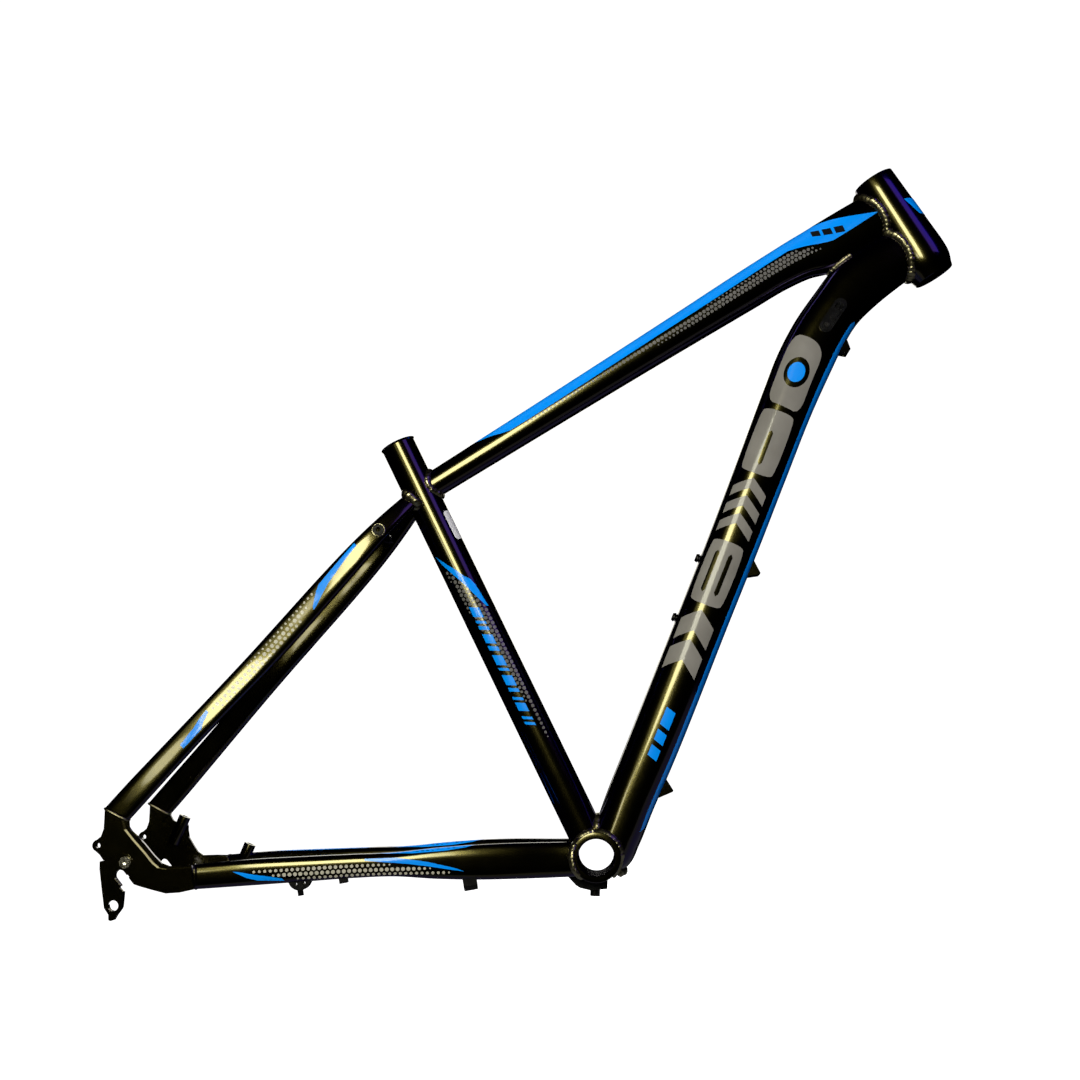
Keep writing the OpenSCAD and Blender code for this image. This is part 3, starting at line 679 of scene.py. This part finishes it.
DARK_NODES = ("bottle_bosses", "bottle_bolts", "bb_guide_screw", "port_screw")
PLASTIC_NODES = ("chainstay_guide_rear", "chainstay_guide_middle", "chainstay_guide_front", "bb_cable_guide",
                 "port_frame", "port_cover")
STEEL_NODES = ("hanger_bolt", "hanger_nut")
BOSS_NODES = ("rack_boss_right", "rack_boss_left")
NODE_ROUNDING = 0.0006
DROPOUT_ROUNDING = 0.0011
SHARP_NODE_EDGE = math.radians(32)
SHARP_EDGE = math.radians(25)


def finish_nodes():
    """Gives every CAD node its material and slightly rounded edges"""
    for name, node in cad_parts.items():
        material = PAINT
        if name in DARK_NODES:
            material = DARK_STEEL
        elif name in PLASTIC_NODES:
            material = PLASTIC
        elif name in STEEL_NODES:
            material = STEEL
        elif name in BOSS_NODES:
            material = FLAT_BLACK
        for place in node.material_slots:
            place.material = material
        join = node.modifiers.new("join_points", "WELD")
        join.merge_threshold = 0.01 * MM
        edges = node.modifiers.new("rounded_edges", "BEVEL")
        edges.width = DROPOUT_ROUNDING if name.startswith("dropout") else NODE_ROUNDING
        edges.segments = 3
        edges.limit_method = "ANGLE"
        edges.angle_limit = SHARP_NODE_EDGE
        edges.harden_normals = True


finish_nodes()

# ---------- tubes ----------

# the tubes end inside their neighbours (IN_), and the welds lie on them (ON_)
IN_HEAD = off_line(HEAD_TOP, HEAD_DIR, 19.5)
IN_SEAT = off_line(np.zeros(3), SEAT_DIR, 16.7)
IN_SHELL = off_line(np.zeros(3), Y, 20)
ON_HEAD = off_line(HEAD_TOP, HEAD_DIR, 24.2)
ON_SEAT = off_line(np.zeros(3), SEAT_DIR, SEAT_R)
ON_SHELL = off_line(np.zeros(3), Y, SHELL_R)


def past_weld(p):
    """Distance above the line where the seatstays are welded to the dropouts"""
    low = AXLE + np.array([13.7, 0, 48.8])
    high = AXLE + np.array([-6, 0, 63.5])
    run = unit(high - low)
    normal = np.array([run[2], 0, -run[0]])
    return (p - low) @ normal


def before_stay_end(p):
    """Distance below the plane where the seatstays end, or outside the seat tube if that is less"""
    low = SEAT_DIR * 382 + SEAT_BACK * 2.5
    run = SEAT_DIR * 22 + SEAT_BACK * 11.9
    normal = unit(np.array([run[2], 0.0, -run[0]]))
    return np.minimum((low - p) @ normal, IN_SEAT(p))


tube_piece("top_tube", TOP, PAINT, IN_SEAT, IN_HEAD)
tube_piece("down_tube", DOWN, PAINT, IN_SHELL, IN_HEAD)
for side in CHAIN:
    tube_piece("chainstay_" + side, CHAIN[side], PAINT, IN_SHELL, None, caps=(False, True))
    tube_piece("seatstay_" + side, SEATSTAY[side], PAINT, past_weld, before_stay_end, caps=(True, True))


def lathe(name, origin, axis, profile, material, sides=128):
    """A turned piece from a closed profile of radius and distance along its axis"""
    side = unit(Y - axis * axis[1]) if abs(axis[1]) < 0.9 else np.array([1.0, 0, 0])
    across = np.cross(axis, side)
    angles = 2 * math.pi * np.arange(sides) / sides
    bm = bmesh.new()
    rows = []
    spokes = np.outer(np.cos(angles), side) + np.outer(np.sin(angles), across)
    for radius, far in profile:
        ring = origin + axis * far + radius * spokes
        rows.append([bm.verts.new(p) for p in ring])
    for low, high in zip(rows, rows[1:] + rows[:1]):
        for k in range(sides):
            n = (k + 1) % sides
            bm.faces.new((low[k], low[n], high[n], high[k]))
    bmesh.ops.recalc_face_normals(bm, faces=bm.faces[:])
    for edge in bm.edges:
        edge.smooth = edge.calc_face_angle(0) < SHARP_EDGE
    keep(bm, name, material, node=name)


def seat_tube_piece():
    """The seat tube with its bore and, at the back of its top, the clamp slot with a round end"""
    slot_foot = 420.0
    slot_half = 1.2
    slot_end_r = 2.2
    slot_end_rise = 1.85
    slot_start = 417.9
    least_half = 0.4
    around = 128
    # how far the last three rings stand out, which makes the rolled lip
    outer_lip = (0.25, 1.05, 0.85)
    bore_lip = (0, 0, 0.4)
    heights = [30, 80, 150, 220, 290, 360, 400, 415, slot_start, 418.3, 419, 420, 421, 421.8, 422.2, 440,
               455.9, 456.4, 457.6, SEAT_TOP]

    def half_slot(height):
        """Half the width of the gap at the back of a ring at this height"""
        if height < slot_foot - slot_end_r or height >= slot_foot + slot_end_rise:
            return slot_half
        return max(least_half, math.sqrt(max(0.0, slot_end_r**2 - (height - slot_foot) ** 2)))

    def ring(radius, heights):
        """Rings of points round the seat tube's axis, open at the back by the slot"""
        half = np.array([math.asin(half_slot(h) / radius) for h in heights[:, 0]])[:, None]
        share = np.linspace(0, 1, around)[None, :]
        angles = math.pi + half + (2 * math.pi - 2 * half) * share
        spokes = np.sin(angles)[..., None] * Y - np.cos(angles)[..., None] * SEAT_BACK
        return heights[..., None] * SEAT_DIR + radius * spokes

    tall = np.repeat(np.array(heights, float)[:, None], around, axis=1)
    foot_angles = np.linspace(0, 2 * math.pi, around)
    outer_low = np.sqrt(SHELL_R**2 - (SEAT_R * np.cos(foot_angles)) ** 2)
    bm = bmesh.new()
    skins = []
    for radius, lip in ((SEAT_R, outer_lip), (SEAT_BORE_R, bore_lip)):
        rings = np.concatenate([ring(radius, outer_low[None, :]), ring(radius, tall)])
        for row, wider in zip((-3, -2, -1), lip):
            rings[row] = ring(radius + wider, tall[row:][:1])[0]
        skins.append([[bm.verts.new(p) for p in row] for row in rings])
    slot_row = heights.index(slot_start) + 1
    for rows in skins:
        for number, (low, high) in enumerate(zip(rows, rows[1:])):
            for k in range(around - 1):
                bm.faces.new((low[k], low[k + 1], high[k + 1], high[k]))
            if number < slot_row:
                bm.faces.new((low[-1], low[0], high[0], high[-1]))
    outer, inner = skins
    for k in range(around - 1):
        bm.faces.new((outer[-1][k], outer[-1][k + 1], inner[-1][k + 1], inner[-1][k]))
    for edge in (0, -1):
        for row in range(slot_row, len(outer) - 1):
            bm.faces.new((outer[row][edge], outer[row + 1][edge], inner[row + 1][edge], inner[row][edge]))
    bm.faces.new((outer[slot_row][0], outer[slot_row][-1], inner[slot_row][-1], inner[slot_row][0]))
    bmesh.ops.recalc_face_normals(bm, faces=bm.faces[:])
    for edge in bm.edges:
        edge.smooth = edge.calc_face_angle(0) < SHARP_EDGE
    keep(bm, "seat_tube", PAINT, node="seat_tube")


CUP_DEPTH = 14
HEAD_PROFILE = [(17, 0), (17.4, 0.0), (20.9, 0), (21.5, -0.25), (21.7, -0.9), (22.4, -16), (23.2, -32),
                (24.6, -60), (25.7, -82), (26, -88), (26.05, -93), (26, -98), (25.7, -102), (25.1, -106),
                (23.7, -110.5), (22.1, -114.5), (21.3, -117.4), (20.9, -118.7), (20.3, -HEAD_LENGTH),
                (17.4, -HEAD_LENGTH), (17, -118.6), (17, CUP_DEPTH - HEAD_LENGTH),
                (17.8, CUP_DEPTH - HEAD_LENGTH), (17.8, -CUP_DEPTH), (17, -CUP_DEPTH), (17, -0.4)]
SHELL_PROFILE = [(17.4, 35.3), (18.6, SHELL_HALF), (22.9, SHELL_HALF), (23.45, 36.3), (SHELL_R, 35.7),
                 (SHELL_R, -35.7), (23.45, -36.3), (22.9, -SHELL_HALF), (18.6, -SHELL_HALF), (17.4, -35.3)]
lathe("head_tube", HEAD_TOP, HEAD_DIR, HEAD_PROFILE, PAINT)
lathe("bb_shell", np.zeros(3), Y, SHELL_PROFILE, PAINT)
seat_tube_piece()

# ---------- decals ----------

TOP_EDGE = [(60, TOP.crown(60)), (80, 13), (88, 10.6), (100, 5.8), (110, 3.2), (130, 3), (160, 3.2),
            (200, 3.9), (240, 4.8), (290, 5.7), (340, 6.3), (400, 7.7), (440, 9.1), (447, 9.6),
            (492, -0.8), (548, 1.3), (520, 13.9), (500, 23)]
TOP_CROWN = [(u, TOP.crown(u)) for u in range(470, 60, -10)]
TOP_DOTS = [(125, 2.4), (125, 0.2), (250, -1.5), (330, -5.2), (460, -5.4), (478, -3), (470, 2), (447, 7.8),
            (400, 6.2), (340, 4.9), (290, 4.2), (200, 2.6)]
DOWN_STRIPE = [(42, -21.4), (60, -21.2), (120, -21.6), (200, -21.8), (330, -22), (450, -23.4), (540, -24),
               (598, -24), (604, -27), (600, -33), (540, -34), (330, -33.5), (120, -33), (60, -31), (46, -27)]
decal("top_tube_stripe", TOP, [[TOP_EDGE + TOP_CROWN]], BLUE)
halftone("top_tube_dots", TOP, TOP_DOTS, 4.6, 1.95, GREY, 1.0)
decal("down_tube_stripe", DOWN, [[DOWN_STRIPE]], BLUE)
PANEL = [(487, 22), (520, 23), (560, 24), (562, 5), (559, -6), (549, -14), (520, -14), (484, -15.2), (486, 3)]


MARK_HIGH = 23.5
MARK_LOW = -13.2


def chevron(start, length, reach):
    """A chevron that points up the tube"""
    middle = (MARK_HIGH + MARK_LOW) / 2
    end = start + length
    return [[(start, MARK_HIGH), (end, MARK_HIGH), (end + reach, middle), (end, MARK_LOW), (start, MARK_LOW),
             (start + reach, middle)]]


def block(start, end, slots):
    """A block with rounded corners and long slots in it"""
    high = MARK_HIGH
    low = MARK_LOW
    corner = 5
    outline = [(start, high - corner), (start + corner, high), (end - corner, high), (end, high - corner),
               (end, low + corner), (end - corner, low), (start + corner, low), (start, low + corner)]
    half = 2.2
    tip = 3
    holes = [[(a, v + half), (b, v + half), (b + tip, v), (b, v - half), (a, v - half), (a - tip, v)]
             for a, b, v in slots]
    return [softened(outline)] + holes


MARKS = [chevron(198, 22, 14), chevron(229, 22, 14), block(271, 338, [(285, 324, 12), (285, 324, -2)]),
         chevron(345, 11, 13), chevron(364, 11, 13), chevron(383, 11, 13),
         block(412, 480, [(424, 456, 5)])]
decal("down_tube_panel", DOWN, [[softened(PANEL), ellipse(523.5, 3.6, 16.2, 12.6)]], SILVER)
decal("down_tube_marks", DOWN, MARKS, SILVER)
decal("down_tube_disc", DOWN, [[ellipse(523.5, 4, 10.6, 8.6)]], BLUE)
decal("down_tube_bars", DOWN, bars([(111, 122), (127, 138), (143, 161)], 2.4, -8, 3), BLUE)
SEAT_SLASH = [(334, 17.3), (327, 11.5), (320, 7), (312, 1.5), (303, -3), (298, -7.5), (290, -10),
              (266, -12.9), (267, -10.5), (280, -5), (292, -0.9), (300, 2.4), (315, 9), (327, 14.8)]
SEAT_DOTS = [(322, 15.5), (300, 12), (270, 9), (240, 4), (200, -1), (160, -4.5), (124, -6.8), (124, -10),
             (160, -11), (200, -11.8), (255, -12.3), (264, -11), (275, -7.5), (290, -2.5), (298, 1), (312, 8)]
SEAT_MARKS = [(139, 142), (145, 148), (154, 163), (166, 169), (175, 179), (182, 193), (198, 201), (204, 215),
              (220, 225), (228, 238), (243, 247), (250, 253), (257, 268)]
LABEL = [(343, -12.8), (370, -12.8), (372.5, -15), (372.5, -27), (340.5, -27), (340.5, -15)]
decal("seat_tube_slash", SEAT, [[SEAT_SLASH]], BLUE)
halftone("seat_tube_dots", SEAT, SEAT_DOTS, 4.8, 1.95, GREY, -8.6)
decal("seat_tube_bars", SEAT, bars(SEAT_MARKS, 6.4, -2.8, 5), BLUE, lift=0.1)
decal("seat_tube_label", SEAT, [[LABEL]], WHITE, sides=RIGHT)
STAY_SLASH = [(353, 8.6), (330, 7.9), (301, 6.9), (294, 4), (286, -0.5), (281, -3.5), (279, -6.3),
              (284, -5.8), (294, -3), (303, -0.5), (317, 1.5), (334, 3.5), (353, 5)]
STAY_MARK = [(138, 4), (127, 3), (117, 0.5), (98, -0.5), (98, -5.5), (122, -5.5), (128, -2), (138, 1)]
STAY_DOTS = [(292, 6.5), (292, 3.5), (272, -1), (262, -6), (215, -7), (150, -5), (138, 0), (150, 4),
             (215, 6)]
CHAIN_SLASH = [(116, 7.8), (130, 5.6), (150, 2), (170, -0.7), (190, -2.7), (210, -5), (210, -6.8),
               (180, -6.7), (160, -3.6), (150, -2), (136, 1.5), (124, 4.6)]
CHAIN_MARK = [(286, 9.7), (311, 7.6), (321, 4.5), (334, -2.2), (328, -1.4), (314, 2), (300, 4.6),
              (288, 7.2)]
CHAIN_DOTS = [(128, 9.8), (225, 10.2), (265, 10), (290, 6), (312, 1.5), (322, -1.5), (255, -3), (200, -2),
              (180, 0), (155, 2.5), (132, 6.5)]
# distance along the chainstay, how far the band reaches down from its crest
FRONT_BAND = ((103, 1.0), (114, 5.0), (135, 7.2), (165, 7.0), (190, 4.6), (204, 1.0))
REAR_BAND = ((214, 1.0), (224, 4.6), (260, 5.2), (300, 4.6), (318, 3.0), (330, 1.0))

# the stays' dots take the cream halftone paint, whose lightness is a painted highlight over the grey print
for side in CHAIN:
    outer = (side == "left",)
    for part, tube, outlines, dots, pitch, rows in (
        ("seatstay", SEATSTAY[side], (STAY_SLASH, STAY_MARK), STAY_DOTS, 5.5, 0.6),
        ("chainstay", CHAIN[side], (CHAIN_SLASH, CHAIN_MARK), CHAIN_DOTS, 5.1, 3.9),
    ):
        decal(part + "_slashes_" + side, tube, [[o] for o in outlines], BLUE, outer)
        halftone(part + "_dots_" + side, tube, dots, pitch, 1.9, HALFTONE_PAINTED_HIGHLIGHT, rows, outer)
for side, tube in CHAIN.items():
    inner = (side == "right",)
    for part, band, faces in (("front", FRONT_BAND, BOTH), ("rear", REAR_BAND, inner)):
        edge = [(u, wide - tube.crown(u)) for u, wide in band]
        crest = [(u, 0.1 - tube.crown(u)) for u, wide in band[::-1]]
        decal("chainstay_%s_band_%s" % (part, side), tube, [[edge + crest]], BLUE, faces)
TOP_MARKS = [[[(u, v), (u + 9, v - 3.2), (u + 8, v - 10.5), (u - 1, v - 7.3)]]
             for u, v in ((476, 20), (488, 15.8), (500, 11.6))]
decal("top_tube_marks", TOP, TOP_MARKS, INK, lift=0.12)
HEAD_WEDGE = [(81.5, -9), (61, -17), (57, -HEAD.crown(57) + 0.1), (78, -HEAD.crown(78) + 0.1)]
decal("head_tube_wedge", HEAD, [[HEAD_WEDGE]], BLUE, lift=0.25)

# ---------- welds ----------


def weld(name, seams, radius, pitch, raised=0.3, material=WELD):
    """A weld bead along each seam, raised by this share of its radius"""
    bm = bmesh.new()
    for number, (points, out, closed) in enumerate(seams):
        bead(bm, points + out * radius * raised, out, radius, pitch, number + len(name), closed)
    bmesh.ops.recalc_face_normals(bm, faces=bm.faces[:])
    keep(bm, name, material)


def lower(angles):
    """True below the sides of a tube"""
    return np.sin(angles) < 0.2


ROUND = 2 * math.pi * (np.arange(72) + 0.5) / 72
BOSS_ALONG = 378
BOSS_R = 6


def dropout_ring(side):
    """Round a seatstay where it is welded to its dropout"""
    t = crossing(SEATSTAY[side], ROUND, past_weld, False)[0]
    return (*SEATSTAY[side].surface(t, ROUND), True)


def chain_ring(side):
    """Round a chainstay where it is welded to its dropout"""
    return (*CHAIN[side].surface(np.full(len(ROUND), CHAIN[side].last - 0.02), ROUND), True)


def boss_ring(side, sign):
    """Round a rack boss on the outer face of a seatstay"""
    angles = 2 * math.pi * np.arange(24) / 24
    u = BOSS_ALONG + BOSS_R * np.cos(angles)
    points = SEATSTAY[side].on_side(u, BOSS_R * np.sin(angles), side == "left", 0)
    return (points, np.tile([0.0, sign, 0.0], (24, 1)), True)


head_seams = runs_of(seam(DOWN, ON_HEAD, True)) + runs_of(seam(TOP, ON_HEAD, True))
weld("head_welds", head_seams, radius=4.0, pitch=4.4)
weld("crotch_weld", runs_of(seam(TOP, off_tube(DOWN), True, only=lower)), radius=2.8, pitch=3.4)
weld("seat_joint_welds", runs_of(seam(TOP, ON_SEAT, False)), radius=3.3, pitch=4.2, raised=0.15)
for name, tube in (("seat", SEAT), ("down", DOWN), ("right", CHAIN["right"]), ("left", CHAIN["left"])):
    weld("shell_weld_" + name, runs_of(seam(tube, ON_SHELL, False)), radius=3.3, pitch=4.0, raised=0.15)
foot, foot_out = seam(DOWN, ON_SEAT, False)
outside = ON_SHELL(foot) > 1
weld("seat_foot_weld", runs_of((foot[outside], foot_out[outside])), radius=4.2, pitch=4.8)
for side in SEATSTAY:
    stay_seam = seam(SEATSTAY[side], before_stay_end, True)
    weld("seatstay_weld_" + side, runs_of(stay_seam), radius=4.2, pitch=4.4)
for side, sign in SIDES:
    weld("dropout_welds_" + side, [dropout_ring(side)], radius=1.0, pitch=2.0, raised=0.0)
    weld("chainstay_weld_" + side, [chain_ring(side)], radius=0.8, pitch=2.0, raised=0.0, material=PAINT)
    weld("rack_boss_weld_" + side, [boss_ring(side, sign)], radius=1.1, pitch=2.2, raised=0.0)

# ---------- stage, lights and camera ----------

# places in metres, the lens in millimetres
FLOOR_AT = -0.345
CAMERA_AT = (0.0216, -1.484, 0.09964)
CAMERA_AHEAD = (-0.0150, 0.98935, 0.1448)
CAMERA_RIGHT = (0.9844, 0.0400, -0.1713)
CAMERA_LENS = 49.47
WARM = (1.0, 0.98, 0.8)


def build_floor():
    """A pale floor that sweeps up into a backdrop on every side, bright enough to have no horizon"""
    look = Look("pale_floor")
    look.set(Base_Color=look.mix(look.noise(0.8, 2), (0.9, 0.9, 0.9), (0.93, 0.93, 0.93)), Roughness=0.9)
    look.set(Emission_Color=(1.0, 1.0, 1.0), Emission_Strength=1.0)
    bm = bmesh.new()
    flat_to = 3.2
    sweep = 2.2
    wall_at = flat_to + sweep
    profile = [(1.5, 0.0), (flat_to, 0.0)]
    for a in (math.pi * k / 32 for k in range(1, 17)):
        profile.append((flat_to + sweep * math.sin(a), sweep - sweep * math.cos(a)))
    profile += [(wall_at, 4.0), (wall_at, 7.0)]
    turns = 96
    rows = []
    for radius, height in profile:
        rows.append([bm.verts.new((radius * math.cos(a), radius * math.sin(a), height))
                     for a in (2 * math.pi * k / turns for k in range(turns))])
    middle = bm.verts.new((0, 0, 0))
    for k in range(turns):
        n = (k + 1) % turns
        bm.faces.new((middle, rows[0][k], rows[0][n]))
        for low, high in zip(rows, rows[1:]):
            bm.faces.new((low[k], high[k], high[n], low[n]))
    mesh = bpy.data.meshes.new("floor")
    bm.to_mesh(mesh)
    bm.free()
    for polygon in mesh.polygons:
        polygon.use_smooth = True
    mesh.materials.append(look.material)
    floor = bpy.data.objects.new("floor", mesh)
    floor.location = (0, 0, FLOOR_AT)
    floor.visible_glossy = False
    floor.visible_diffuse = False
    SCENE.collection.objects.link(floor)


def area_light(name, place, target, width, height, power, colour=(1, 1, 1)):
    """A soft light at a place, turned to its target, with its power in watts"""
    data = bpy.data.lights.new(name, "AREA")
    data.shape = "RECTANGLE"
    data.size = width
    data.size_y = height
    data.energy = power
    data.color = colour
    light = bpy.data.objects.new(name, data)
    light.location = place
    light.rotation_mode = "QUATERNION"
    light.rotation_quaternion = (Vector(target) - Vector(place)).to_track_quat("-Z", "Y")
    SCENE.collection.objects.link(light)
    return light


def build_world():
    """White behind everything for the camera, and no light from it"""
    world = bpy.data.worlds.new("studio")
    SCENE.world = world
    world.use_nodes = True
    nodes = world.node_tree.nodes
    ground = nodes["Background"]
    ground.inputs["Color"].default_value = (1, 1, 1, 1)
    path = nodes.new("ShaderNodeLightPath")
    world.node_tree.links.new(path.outputs["Is Camera Ray"], ground.inputs["Strength"])


def build_camera():
    """The photograph's camera"""
    data = bpy.data.cameras.new("camera")
    data.lens = CAMERA_LENS
    data.sensor_width = 36
    data.clip_start = 0.05
    data.clip_end = 60
    camera = bpy.data.objects.new("camera", data)
    ahead = Vector(CAMERA_AHEAD).normalized()
    right = Vector(CAMERA_RIGHT)
    right = (right - ahead * right.dot(ahead)).normalized()
    up = right.cross(ahead)
    turn = Matrix((right, up, -ahead)).transposed()
    camera.matrix_world = Matrix.Translation(CAMERA_AT) @ turn.to_4x4()
    SCENE.collection.objects.link(camera)
    SCENE.camera = camera


build_floor()
build_world()
area_light("key_softbox", (-0.17, -1.5, 0.71), (0, 0, 0.3), 0.42, 0.66, 10.5, (1.0, 0.98, 0.76))
area_light("key_lower_corner", (-0.57, -1.5, 0.4), (-0.2, 0, 0.2), 0.18, 0.18, 0.62, WARM)
area_light("key_glow", (-0.3, -1.56, 0.72), (0, 0, 0.3), 1.0, 1.0, 1.8, (1.0, 0.95, 0.5))
area_light("side_softbox", (2.6, -2.2, 2.0), (0.1, 0, 0.4), 1.5, 1.5, 11, (0.2, 0.1, 1.0))
bounce = area_light("floor_bounce", (0.1, 0.1, -0.335), (0.1, 0.1, 0), 1.8, 1.0, 0.5)
bounce.visible_camera = False
# fills that light the decals without showing in the gloss
for name, place, size, power in (
    ("front_fill", (0.0, -3.2, 1.2), 2.2, 60),
    ("back_fill", (0.3, 3.2, 1.4), 2.2, 60),
    ("overhead", (0.0, 0.0, 3.2), 2.6, 40),
):
    area_light(name, place, (0, 0, 0.2), size, size, power).visible_glossy = False
left = area_light("left_softbox", (-0.1, 1.9, 0.8), (0, 0, 0.3), 1.3, 0.8, 4.5, WARM)
left.visible_camera = False
build_camera()
SCENE.view_settings.view_transform = "Standard"
